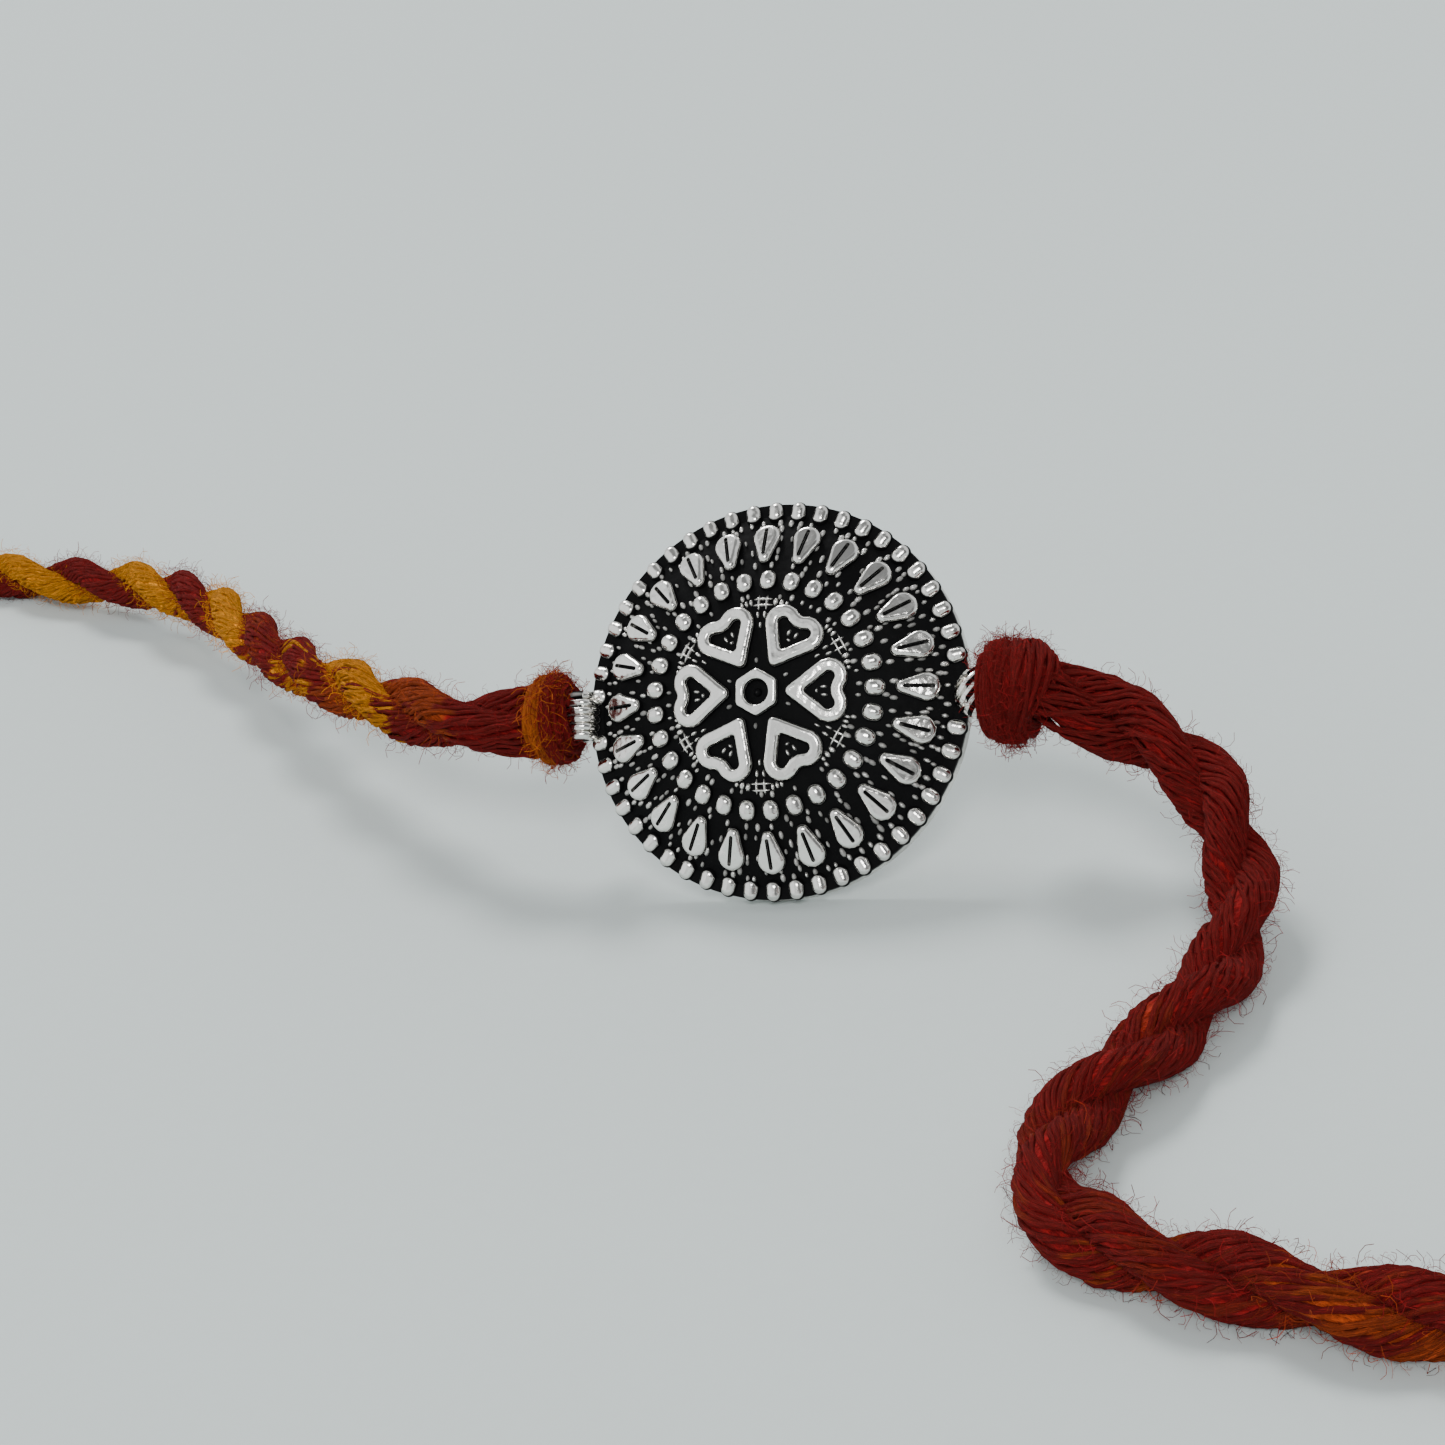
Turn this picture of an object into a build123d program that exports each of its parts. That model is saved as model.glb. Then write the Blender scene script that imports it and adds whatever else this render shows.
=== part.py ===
"""Rakhi thread bracelet: a domed oxidised medallion between two twisted thread cords.

The medallion stands on the lower back edge of its rim and leans back, and both cords run down to the
surface. Millimetres, +Z up, the medallion faces -Y. The origin is the point that the rim stands on.
"""
from build123d import *
from math import acos, asin, atan2, cos, pi, radians, sin, sqrt, tan
import os

# Pose of the medallion
lean_deg = 35.0

# Medallion body
rim_radius = 13.0
rim_depth = 1.3
rim_edge_round = 0.2
rim_land = 0.8
dome_radius = rim_radius - rim_land
dome_rise = 3.3
back_wall = 1.5
seam_deg = 26.0

# Relief of the medallion: heights stand over the dome, roots reach into it
relief_root = 0.5
petal_count = 24
petal_inset = 0.75
petal_length = 2.9
petal_ring = dome_radius - petal_inset - petal_length / 2
petal_width = 1.85
petal_inner_radius = 0.42
petal_height = 0.6
petal_round = 0.34
petal_phase_deg = 1.5
groove_width = 0.26
groove_share = 0.72
groove_depth = 0.35
bead_count = 29
bead_radius = 0.57
bead_length = 1.4
bead_petal_gap = 0.4
bead_ring = petal_ring - petal_length / 2 - bead_petal_gap - bead_length / 2
bead_sink = 0.1
bead_phase_deg = 1.5
stud_count = 50
stud_radius = 0.52
stud_length = 1.5
stud_drop_deg = 10.0
stud_overhang = 0.15
stud_rise = 0.12
stud_phase_deg = 3.9
hub_across = 2.75
hub_corner = 0.35
hub_hole_radius = 0.82
hub_height = 0.6
hub_round = 0.2
hub_seed_radius = 0.28
heart_count = 6
heart_hub_gap = 0.5
heart_bead_gap = 0.88
heart_start = hub_across / 2 + heart_hub_gap
heart_end = bead_ring - bead_length / 2 - heart_bead_gap
heart_length = heart_end - heart_start
heart_ring = (heart_start + heart_end) / 2
heart_height = 0.6
heart_round = 0.3
heart_floor = 0.06
heart_phase_deg = 0.0

# Shares of a heart's length
heart_lobe_share = 0.3
heart_spread_share = 0.215
heart_tip_share = 0.1
heart_notch_share = 0.12
heart_band_share = 0.215
pocket_tip_share = 0.05

# Lugs at the two sides, each with ribs in front and an eye for the thread
right_lug_deg = -0.5
left_lug_deg = 182.5
right_lug_out = 0.5
left_lug_out = 0.6
right_lug_radius = 1.35
left_lug_radius = 1.25
right_lug_length = 3.4
left_lug_length = 3.2
lug_lift = 0.3
rib_valley = 0.25
right_rib_count = 5
right_rib_width = 0.3
right_rib_pitch = 0.54
right_rib_slant_deg = 50.0
left_rib_count = 6
left_rib_end_share = 0.75
eye_reach = 3.6
eye_width = 2.5
eye_thickness = 0.9
eye_hole_radius = 0.75
lug_gap_deg = 5.0

# Thread bindings: turns of thread round the cord's root
thread_gap = 0.12
left_binding_out = 0.9
left_binding_length = 3.5
left_binding_radius = 3.15
left_binding_turns = 2
right_binding_out = 1.5
right_binding_length = 3.9
right_binding_radius = 3.4
right_binding_turns = 3
binding_groove = 0.35
binding_end_radius = 2.35

# Cords and their end knots
cord_radius = 2.1
knot_radius = 3.1
knot_length = 7.0
knot_neck_radius = 1.7
tuft_length = 5.0
tuft_radius = 2.3

# Places that each cord passes, after it leaves its binding straight, and how much of a run an arc takes
arc_share = 0.45
first_run = 4.2
left_route = [
    (-27.2, 7.2, 10.2),
    (-32.4, 11.6, 9.7),
    (-39.2, 18.2, 8.9),
    (-47.0, 24.8, 7.9),
    (-55.4, 33.4, 6.7),
    (-65.2, 43.6, 5.4),
    (-77.6, 52.6, 3.9),
    (-90.0, 58.8, 2.7),
    (-99.6, 62.0, 2.1),
    (-105.4, 63.4, 2.6),
    (-109.6, 64.2, 3.1),
    (-113.2, 64.8, 3.1),
]
right_route = [
    (26.8, 4.4, 9.7),
    (30.0, 1.2, 7.4),
    (32.0, -3.0, 4.7),
    (32.6, -8.0, 2.6),
    (31.8, -13.4, 2.1),
    (30.0, -18.8, 2.1),
    (27.0, -23.8, 2.1),
    (24.0, -29.2, 2.1),
    (24.8, -34.6, 2.1),
    (28.6, -38.2, 2.1),
    (33.6, -40.0, 2.1),
    (39.6, -41.8, 2.1),
    (45.0, -42.2, 2.1),
    (49.6, -41.8, 2.6),
    (53.2, -41.4, 3.1),
    (56.4, -41.2, 3.1),
]

# The medallion's own frame: x to its right, y up its face, z out of its front
lean_sin, lean_cos = sin(radians(lean_deg)), cos(radians(lean_deg))
stand_radius = rim_radius - rim_edge_round
stand_depth = rim_depth - rim_edge_round
face = Plane(
    origin=(
        0,
        stand_radius * lean_sin - stand_depth * lean_cos,
        stand_radius * lean_cos + stand_depth * lean_sin + rim_edge_round,
    ),
    x_dir=(1, 0, 0),
    z_dir=(0, -lean_cos, lean_sin),
)
dome_sphere = (dome_radius**2 + dome_rise**2) / (2 * dome_rise)
dome_centre_drop = dome_sphere - dome_rise


def face_point(x, y, z):
    """A point of the medallion's frame in the part's frame."""
    return face.from_local_coords(Vector(x, y, z))


def face_plane(origin, x_dir, z_dir):
    """A plane given in the medallion's frame, in the part's frame."""
    start = face_point(*origin)
    return Plane(start, x_dir=face_point(*x_dir) - face.origin, z_dir=face_point(*z_dir) - face.origin)


def dome_plane(ring, angle_deg, lift=0.0):
    """The plane that lies on the dome there: x runs outward down the slope, z out of the surface."""
    slope = asin(ring / dome_sphere)
    turn = radians(angle_deg)
    out = dome_sphere + lift
    return face_plane(
        (out * sin(slope) * cos(turn), out * sin(slope) * sin(turn), out * cos(slope) - dome_centre_drop),
        (cos(slope) * cos(turn), cos(slope) * sin(turn), -sin(slope)),
        (sin(slope) * cos(turn), sin(slope) * sin(turn), cos(slope)),
    )


def around(count, phase_deg):
    """The angles of evenly spaced places."""
    return [phase_deg + index * 360 / count for index in range(count)]


def lug_plane(angle_deg, along=0.0, lift=0.0):
    """A plane at a lug: x runs outward, z out of the medallion's front."""
    turn = radians(angle_deg)
    return face_plane((along * cos(turn), along * sin(turn), lift), (cos(turn), sin(turn), 0), (0, 0, 1))


def body_section():
    """Half of the medallion's section: the dome, the rim and the hollow back."""
    inner = dome_sphere - back_wall
    hollow_rim = sqrt(inner**2 - (dome_centre_drop - rim_depth) ** 2)
    mid_outer = asin(dome_radius / dome_sphere) / 2
    mid_inner = asin(hollow_rim / inner) / 2
    ThreePointArc(
        (0, dome_rise),
        (dome_sphere * sin(mid_outer), dome_sphere * cos(mid_outer) - dome_centre_drop),
        (dome_radius, 0),
    )
    Line((dome_radius, 0), (rim_radius, 0))
    Line((rim_radius, 0), (rim_radius, -stand_depth))
    ThreePointArc(
        (rim_radius, -stand_depth),
        (
            stand_radius + rim_edge_round * cos(pi / 4),
            -stand_depth - rim_edge_round * sin(pi / 4),
        ),
        (stand_radius, -rim_depth),
    )
    Line((stand_radius, -rim_depth), (hollow_rim, -rim_depth))
    ThreePointArc(
        (hollow_rim, -rim_depth),
        (inner * sin(mid_inner), inner * cos(mid_inner) - dome_centre_drop),
        (0, inner - dome_centre_drop),
    )
    Line((0, inner - dome_centre_drop), (0, dome_rise))


def tangent(first, first_radius, second, second_radius):
    """Where the line along the left side of two circles touches each of them."""
    way = Vector(*second) - Vector(*first)
    turn = atan2(way.Y, way.X) + acos((first_radius - second_radius) / way.length)
    side = Vector(cos(turn), sin(turn))
    return Vector(*first) + side * first_radius, Vector(*second) + side * second_radius


def mirrored(point):
    """The same point on the other side of the x axis."""
    return Vector(point.X, -point.Y)


def petal_outline():
    """A petal: a broad round end outward and a narrow round end inward."""
    outer_radius = petal_width / 2
    inner, outer = tangent(
        (petal_inner_radius - petal_length / 2, 0),
        petal_inner_radius,
        (petal_length / 2 - outer_radius, 0),
        outer_radius,
    )
    Line(mirrored(inner), mirrored(outer))
    ThreePointArc(mirrored(outer), (petal_length / 2, 0), outer)
    Line(outer, inner)
    ThreePointArc(inner, (-petal_length / 2, 0), mirrored(inner))


def heart_outline():
    """A heart with its blunt point toward the medallion's centre and its two round lobes outward."""
    lobe, apart = heart_lobe_share * heart_length, heart_spread_share * heart_length
    blunt, notch = heart_tip_share * heart_length, heart_notch_share * heart_length
    lobe_x = heart_length / 2 - lobe
    tip, shoulder = tangent((blunt - heart_length / 2, 0), blunt, (lobe_x, apart), lobe)
    notch_x = lobe_x + sqrt((lobe + notch) ** 2 - apart**2)
    crown = Vector(lobe_x + lobe * cos(pi / 5), apart + lobe * sin(pi / 5))
    inside = Vector(lobe_x, apart) + Vector(notch_x - lobe_x, -apart) * (lobe / (lobe + notch))
    Line(mirrored(tip), mirrored(shoulder))
    ThreePointArc(mirrored(shoulder), mirrored(crown), mirrored(inside))
    ThreePointArc(mirrored(inside), (notch_x - notch, 0), inside)
    ThreePointArc(inside, crown, shoulder)
    Line(shoulder, tip)
    ThreePointArc(tip, (-heart_length / 2, 0), mirrored(tip))


def capsule_section(length, radius):
    """Half of a capsule's section, along the y axis."""
    straight = length / 2 - radius
    side = radius * cos(pi / 4)
    Line((0, -length / 2), (0, length / 2))
    ThreePointArc((0, length / 2), (side, straight + side), (radius, straight))
    Line((radius, straight), (radius, -straight))
    ThreePointArc((radius, -straight), (side, -straight - side), (0, -length / 2))


def oval_section(length, radius):
    """Half of an oval's section, along the y axis."""
    ThreePointArc((0, -length / 2), (radius, 0), (0, length / 2))
    Line((0, length / 2), (0, -length / 2))


def ribbed_section(length, radius):
    """Half of a ribbed lug's section, along the y axis: ribs side by side, smaller at the ends."""
    pitch = length / left_rib_count
    seams, crests = [], []
    for index in range(left_rib_count + 1):
        off_middle = abs(2 * index / left_rib_count - 1)
        seams.append(radius * (1 - (1 - left_rib_end_share) * off_middle**2) - rib_valley)
    for index in range(left_rib_count):
        off_middle = abs(2 * (index + 0.5) / left_rib_count - 1)
        crests.append(radius * (1 - (1 - left_rib_end_share) * off_middle**2))
    ends = [(reach, -length / 2 + index * pitch) for index, reach in enumerate(seams)]
    Line((0, -length / 2), ends[0])
    for index, crest in enumerate(crests):
        ThreePointArc(ends[index], (crest, ends[index][1] + pitch / 2), ends[index + 1])
    Line(ends[-1], (0, length / 2))
    Line((0, length / 2), (0, -length / 2))


def binding_section(length, radius, turns):
    """Half of a binding's section along the cord: one bulge for each turn of thread, drawn in at the ends."""
    pitch = length / turns
    valley = radius - binding_groove
    seams = [(0, binding_end_radius)]
    seams += [(index * pitch, valley) for index in range(1, turns)]
    seams += [(length, binding_end_radius)]
    Line((0, 0), seams[0])
    for before, after in zip(seams, seams[1:]):
        ThreePointArc(before, ((before[0] + after[0]) / 2, radius), after)
    Line(seams[-1], (length, 0))
    Line((length, 0), (0, 0))


def eye_outline(grow, hole_grow):
    """The flat tab behind the ribs, round at its end and pierced by the eye."""
    round_radius = eye_width / 2
    with Locations((eye_reach - round_radius, 0)):
        Circle(round_radius + grow)
    with Locations(((eye_reach - round_radius) / 2, 0)):
        Rectangle(eye_reach - round_radius, eye_width + 2 * grow)
    with Locations((eye_reach - round_radius, 0)):
        Circle(eye_hole_radius + hole_grow, mode=Mode.SUBTRACT)


def clear_of_lugs(angle_deg):
    """Whether a stud at this angle stands clear of both lugs."""
    lug_angles = (right_lug_deg, left_lug_deg)
    return all(abs((angle_deg - lug + 180) % 360 - 180) > lug_gap_deg for lug in lug_angles)


def stud_plane(angle_deg):
    """The plane of a stud on the rim's edge: z runs outward and down over the edge."""
    turn, drop = radians(angle_deg), radians(stud_drop_deg)
    out = rim_radius + stud_overhang - (stud_length / 2) * cos(drop)
    down = -(stud_length / 2) * sin(drop) + stud_rise
    return face_plane(
        (out * cos(turn), out * sin(turn), down),
        (-sin(turn), cos(turn), 0),
        (cos(drop) * cos(turn), cos(drop) * sin(turn), -sin(drop)),
    )


# One of each raised form, on its own plane
with BuildPart(mode=Mode.PRIVATE) as petal:
    with BuildSketch(Plane.XY.offset(-relief_root)):
        with BuildLine():
            petal_outline()
        make_face()
    extrude(amount=relief_root + petal_height)
    fillet(petal.faces().sort_by(Axis.Z)[-1].edges(), petal_round)
    with BuildSketch(Plane.XY.offset(petal_height - groove_depth)):
        SlotOverall(petal_length * groove_share, groove_width)
    extrude(amount=groove_depth, mode=Mode.SUBTRACT)

with BuildPart(mode=Mode.PRIVATE) as heart:
    with BuildSketch(Plane.XY.offset(-relief_root)):
        with BuildLine():
            heart_outline()
        make_face()
    extrude(amount=relief_root + heart_height)
    with BuildSketch(Plane.XY.offset(heart_floor)) as pocket:
        with BuildLine():
            heart_outline()
        make_face()
        offset(amount=-heart_band_share * heart_length, mode=Mode.REPLACE)
        fillet(pocket.vertices().sort_by(Axis.X)[0], pocket_tip_share * heart_length)
    extrude(amount=heart_height, mode=Mode.SUBTRACT)
    fillet(heart.faces().sort_by(Axis.Z)[-1].edges(), heart_round)

with BuildPart(mode=Mode.PRIVATE) as hub:
    with BuildSketch(Plane.XY.offset(-relief_root)) as hub_base:
        RegularPolygon(hub_across / 2, 6, major_radius=False, rotation=30)
        fillet(hub_base.vertices(), hub_corner)
        Circle(hub_hole_radius, mode=Mode.SUBTRACT)
    extrude(amount=relief_root + hub_height)
    fillet(hub.faces().sort_by(Axis.Z)[-1].edges(), hub_round)

with BuildPart(mode=Mode.PRIVATE) as bead:
    with BuildSketch(Plane.XY.rotated((0, 0, -90))):
        with BuildLine():
            capsule_section(bead_length, bead_radius)
        make_face()
    revolve(axis=Axis.X)

with BuildPart(mode=Mode.PRIVATE) as stud:
    with BuildSketch(Plane.XZ):
        with BuildLine():
            capsule_section(stud_length, stud_radius)
        make_face()
    revolve(axis=Axis.Z)

# The right lug: an oval crossed by slanted ribs
with BuildPart(mode=Mode.PRIVATE) as right_ribs:
    slanted = Plane.XY.rotated((0, 0, right_rib_slant_deg))
    steps = [(index - (right_rib_count - 1) / 2) * right_rib_pitch for index in range(right_rib_count)]
    with Locations(*[slanted * Location((0, step, 0)) for step in steps]):
        Box(2 * right_lug_length, right_rib_width, 2 * right_lug_length)
    with BuildSketch():
        with BuildLine():
            oval_section(right_lug_length, right_lug_radius)
        make_face()
    revolve(axis=Axis.Y, mode=Mode.INTERSECT)
    with BuildSketch():
        with BuildLine():
            oval_section(right_lug_length - 2 * rib_valley, right_lug_radius - rib_valley)
        make_face()
    revolve(axis=Axis.Y)

# The left lug: a barrel ringed by ribs
with BuildPart(mode=Mode.PRIVATE) as left_ribs:
    with BuildSketch():
        with BuildLine():
            ribbed_section(left_lug_length, left_lug_radius)
        make_face()
    revolve(axis=Axis.Y)

# Angle, ring, ribs, and their length and radius, of each lug
right_lug = (right_lug_deg, rim_radius + right_lug_out, right_ribs, right_lug_length, right_lug_radius)
left_lug = (left_lug_deg, rim_radius + left_lug_out, left_ribs, left_lug_length, left_lug_radius)

# Medallion
seam = radians(seam_deg)
section_plane = face_plane((0, 0, 0), (cos(seam), sin(seam), 0), (sin(seam), -cos(seam), 0))
with BuildPart() as medallion:
    with BuildSketch(section_plane):
        with BuildLine():
            body_section()
        make_face()
    revolve(axis=Axis(face.origin, face.z_dir))

    with Locations(*[dome_plane(heart_ring, angle) for angle in around(heart_count, heart_phase_deg)]):
        add(heart.part)
    with Locations(*[dome_plane(petal_ring, angle) for angle in around(petal_count, petal_phase_deg)]):
        add(petal.part)
    with Locations(dome_plane(0.0, 0.0)):
        add(hub.part)
        Sphere(hub_seed_radius)
    with Locations(*[dome_plane(bead_ring, angle, bead_sink) for angle in around(bead_count, bead_phase_deg)]):
        add(bead.part)

    for angle, ring, ribs, *_ in (right_lug, left_lug):
        with Locations(lug_plane(angle, ring, lug_lift)):
            add(ribs.part)
    for angle, ring, *_ in (right_lug, left_lug):
        with BuildSketch(lug_plane(angle, ring, lug_lift)):
            eye_outline(0, 0)
        extrude(amount=eye_thickness / 2, both=True)

    studs = [angle for angle in around(stud_count, stud_phase_deg) if clear_of_lugs(angle)]
    with Locations(*[stud_plane(angle) for angle in studs]):
        add(stud.part)
medallion.part.label = "medallion"


def wrap_binding(lug_sizes, out, length, radius, turns):
    """Turns of thread round the cord's root, wound through the eye and up against the ribs."""
    angle, ring, _, lug_length, lug_radius = lug_sizes
    root = lug_plane(angle, rim_radius + out, lug_lift)
    lug = lug_plane(angle, ring, lug_lift)
    with BuildPart() as binding:
        with BuildSketch(root):
            with BuildLine():
                binding_section(length, radius, turns)
            make_face()
        revolve(axis=Axis(root.origin, root.x_dir))
        with BuildSketch(lug):
            eye_outline(thread_gap, -thread_gap)
        extrude(amount=eye_thickness / 2 + thread_gap, both=True, mode=Mode.SUBTRACT)
        with Locations(Plane(lug.origin, x_dir=lug.x_dir, z_dir=lug.y_dir)):
            Cylinder(lug_radius + thread_gap, lug_length + 2 * thread_gap, mode=Mode.SUBTRACT)
    return binding


def binding_end(angle, out, length):
    """The plane of a binding's outer end, where the cord leaves it: z runs along the cord."""
    end = lug_plane(angle, rim_radius + out + length, lug_lift)
    return Plane(end.origin, x_dir=end.y_dir, z_dir=end.x_dir)


left_binding = wrap_binding(
    left_lug, left_binding_out, left_binding_length, left_binding_radius, left_binding_turns
)
left_binding.part.label = "left_binding"
right_binding = wrap_binding(
    right_lug, right_binding_out, right_binding_length, right_binding_radius, right_binding_turns
)
right_binding.part.label = "right_binding"


def cord_points(exit_plane, route):
    """All points of a cord's route, from its binding to its end."""
    start = exit_plane.origin
    return [start, start + exit_plane.z_dir * first_run] + [Vector(*point) for point in route]


def cord_radii(points):
    """The radius of each arc: its share of the shorter run beside it, over the tangent of half the turn."""
    radii = []
    for before, corner, after in zip(points, points[1:], points[2:]):
        run_in, run_out = corner - before, after - corner
        half_turn = radians(run_in.get_angle(run_out)) / 2
        radii.append(arc_share * min(run_in.length, run_out.length) / tan(half_turn))
    return radii


def lay_cord(name, exit_plane, route):
    """The tube of one cord, swept along straight runs joined by tangent arcs; prints what it measures."""
    points = cord_points(exit_plane, route)
    radii = cord_radii(points)
    with BuildPart() as cord:
        with BuildLine() as path:
            FilletPolyline(*points, radius=radii)
        with BuildSketch(exit_plane):
            Circle(cord_radius)
        sweep()
    length = path.wire().length
    filled = cord.part.volume / (pi * cord_radius**2 * length)
    print(name, "length", round(length, 1), "volume over section times length", round(filled, 4))
    print("radii in diameters", [round(radius / (2 * cord_radius), 1) for radius in radii])
    return cord


def knot_plane(exit_plane, route):
    """The plane of the cord's far end: x runs on past it."""
    points = cord_points(exit_plane, route)
    along = (points[-1] - points[-2]).normalized()
    return Plane(points[-1], x_dir=along, z_dir=along.cross(Vector(0, 0, 1).cross(along)))


def knot_section():
    """Half of an end knot's section: the knot itself, then the short loose tuft beyond it."""
    neck = (knot_length, knot_neck_radius)
    Line((0, 0), (0, cord_radius))
    ThreePointArc((0, cord_radius), (knot_length / 2, knot_radius), neck)
    Line(neck, (knot_length + tuft_length, tuft_radius))
    Line((knot_length + tuft_length, tuft_radius), (knot_length + tuft_length, 0))
    Line((knot_length + tuft_length, 0), (0, 0))


def tie_knot(end):
    """A plain knot with its tuft, face to face with the cord's end."""
    with BuildPart() as knot:
        with BuildSketch(end):
            with BuildLine():
                knot_section()
            make_face()
        revolve(axis=Axis(end.origin, end.x_dir))
    return knot


left_exit = binding_end(left_lug_deg, left_binding_out, left_binding_length)
right_exit = binding_end(right_lug_deg, right_binding_out, right_binding_length)
left_cord = lay_cord("left cord", left_exit, left_route)
left_cord.part.label = "left_cord"
right_cord = lay_cord("right cord", right_exit, right_route)
right_cord.part.label = "right_cord"
left_end_knot = tie_knot(knot_plane(left_exit, left_route))
left_end_knot.part.label = "left_end_knot"
right_end_knot = tie_knot(knot_plane(right_exit, right_route))
right_end_knot.part.label = "right_end_knot"

os.makedirs("parts", exist_ok=True)
pieces = (medallion, left_binding, right_binding, left_cord, right_cord, left_end_knot, right_end_knot)
for piece in pieces:
    export_step(piece.part, f"parts/{piece.part.label}.step")
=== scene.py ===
"""Looks of a rakhi thread bracelet: an oxidised silver medallion between two twisted thread cords.

Laid out as a Blender add-on and run as a script. All lengths in the code are metres, in the part's frame.
"""

import math

import bpy
import numpy as np
from bpy.props import FloatProperty, FloatVectorProperty, IntProperty, PointerProperty
from mathutils import Matrix, Vector


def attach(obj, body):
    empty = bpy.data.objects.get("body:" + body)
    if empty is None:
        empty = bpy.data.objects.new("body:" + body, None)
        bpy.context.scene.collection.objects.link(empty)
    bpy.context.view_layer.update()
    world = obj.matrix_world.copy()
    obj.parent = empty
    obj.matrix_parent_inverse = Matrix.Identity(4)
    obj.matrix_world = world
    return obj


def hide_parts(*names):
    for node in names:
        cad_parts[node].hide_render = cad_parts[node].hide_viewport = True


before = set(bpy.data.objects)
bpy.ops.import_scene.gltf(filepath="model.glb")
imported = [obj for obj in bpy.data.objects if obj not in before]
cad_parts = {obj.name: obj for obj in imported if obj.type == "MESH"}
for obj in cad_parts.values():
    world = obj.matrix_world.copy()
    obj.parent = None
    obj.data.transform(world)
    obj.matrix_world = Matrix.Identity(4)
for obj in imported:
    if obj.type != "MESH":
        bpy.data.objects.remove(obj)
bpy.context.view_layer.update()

bl_info = {
    "name": "Rakhi thread bracelet",
    "version": (1, 0, 0),
    "blender": (4, 5, 0),
    "location": "View3D > Sidebar > Rakhi",
    "description": "Builds the looks of a thread bracelet with an oxidised silver medallion",
    "category": "Object",
}

MM = 0.001

# The medallion's frame, as the part's source sets it
LEAN = math.radians(35.0)
RIM_RADIUS, RIM_DEPTH, RIM_EDGE = 13.0 * MM, 1.3 * MM, 0.2 * MM
DOME_RADIUS, DOME_RISE = 12.2 * MM, 3.3 * MM
DOME_SPHERE = (DOME_RADIUS**2 + DOME_RISE**2) / (2 * DOME_RISE)
FACE_NORMAL = Vector((0, -math.cos(LEAN), math.sin(LEAN)))
FACE_UP = Vector((0, math.sin(LEAN), math.cos(LEAN)))
FACE_RIGHT = Vector((1, 0, 0))
FACE_CENTRE = (RIM_RADIUS - RIM_EDGE) * FACE_UP + (RIM_DEPTH - RIM_EDGE) * FACE_NORMAL + Vector((0, 0, RIM_EDGE))
DOME_CENTRE = FACE_CENTRE - (DOME_SPHERE - DOME_RISE) * FACE_NORMAL
LUG_LIFT = 0.3 * MM

# Each lug's angle in degrees, where its binding starts from the middle and how long the binding is
LEFT_ROOT = (182.5, 13.9 * MM, 3.5 * MM)
RIGHT_ROOT = (-0.5, 14.5 * MM, 3.9 * MM)

# Each cord's route after its exit, in millimetres: the points of the part's source, some of them moved a little to
# follow the photograph
LEFT_ROUTE = [
    (-21.6, 5.7, 10.9),
    (-26.6, 8.0, 10.6),
    (-32.1, 12.3, 10.1),
    (-39.4, 18.1, 8.9),
    (-46.8, 24.9, 7.8),
    (-55.2, 33.7, 6.8),
    (-65.2, 43.8, 5.6),
    (-77.5, 52.6, 3.9),
    (-90.1, 58.5, 2.4),
    (-99.6, 62.0, 2.1),
    (-105.4, 63.4, 2.6),
    (-109.6, 64.2, 3.1),
    (-113.2, 64.8, 3.1),
]
RIGHT_ROUTE = [
    (21.8, 5.4, 9.7),
    (25.7, 3.4, 8.9),
    (28.6, 0.5, 7.2),
    (30.8, -3.4, 4.6),
    (31.4, -8.1, 2.6),
    (30.5, -13.1, 2.1),
    (28.8, -18.4, 2.1),
    (26.2, -23.4, 2.1),
    (24.0, -28.8, 2.1),
    (24.9, -34.5, 2.1),
    (28.8, -37.7, 2.1),
    (33.6, -39.2, 2.1),
    (38.9, -40.8, 2.1),
    (45.0, -42.2, 2.1),
    (49.6, -41.8, 2.6),
    (53.2, -41.4, 3.1),
    (56.4, -41.2, 3.1),
]
KNOT_LENGTH, TUFT_LENGTH, TUFT_OVERLAP = 7.0 * MM, 5.0 * MM, 1.0 * MM

# How many crossing passes of yarn a winding has
PASSES = 3

# How deep a rope starts inside its binding, and how much shorter than the part's binding the wound one is
ROPE_OVERLAP, BINDING_TRIM = 2.4 * MM, 0.75 * MM

# How far over the cores the loose fibres start, just outside the yarns of a rope or a binding
ROPE_FUZZ_LIFT, BINDING_FUZZ_LIFT = 0.5 * MM, 0.4 * MM

# Each cord's tints along its two strands: from this many millimetres on, this tint in this share of the yarns
LEFT_BANDS = (
    [(0, 0.10, 0.25), (8, 0.34, 0.78), (26, 0.95, 0.40), (47, 1.0, 1.0)],
    [(0, 0.05, 0.20), (14.5, 0.92, 0.72), (36, 0.20, 0.35), (58, 0.0, 0.0)],
)
RIGHT_BANDS = (
    [(0, 0.0, 0.0), (37, 0.10, 0.40), (46, 0.14, 0.35), (55, 0.30, 0.40), (64, 0.10, 0.40), (68, 0.34, 0.55)],
    [(0, 0.0, 0.0), (40, 0.08, 0.35), (66, 0.12, 0.40)],
)
PLAIN_BANDS = ([(0, 0.0, 0.0), (1, 0.0, 0.0)], [(0, 0.0, 0.0), (1, 0.0, 0.0)])

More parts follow.
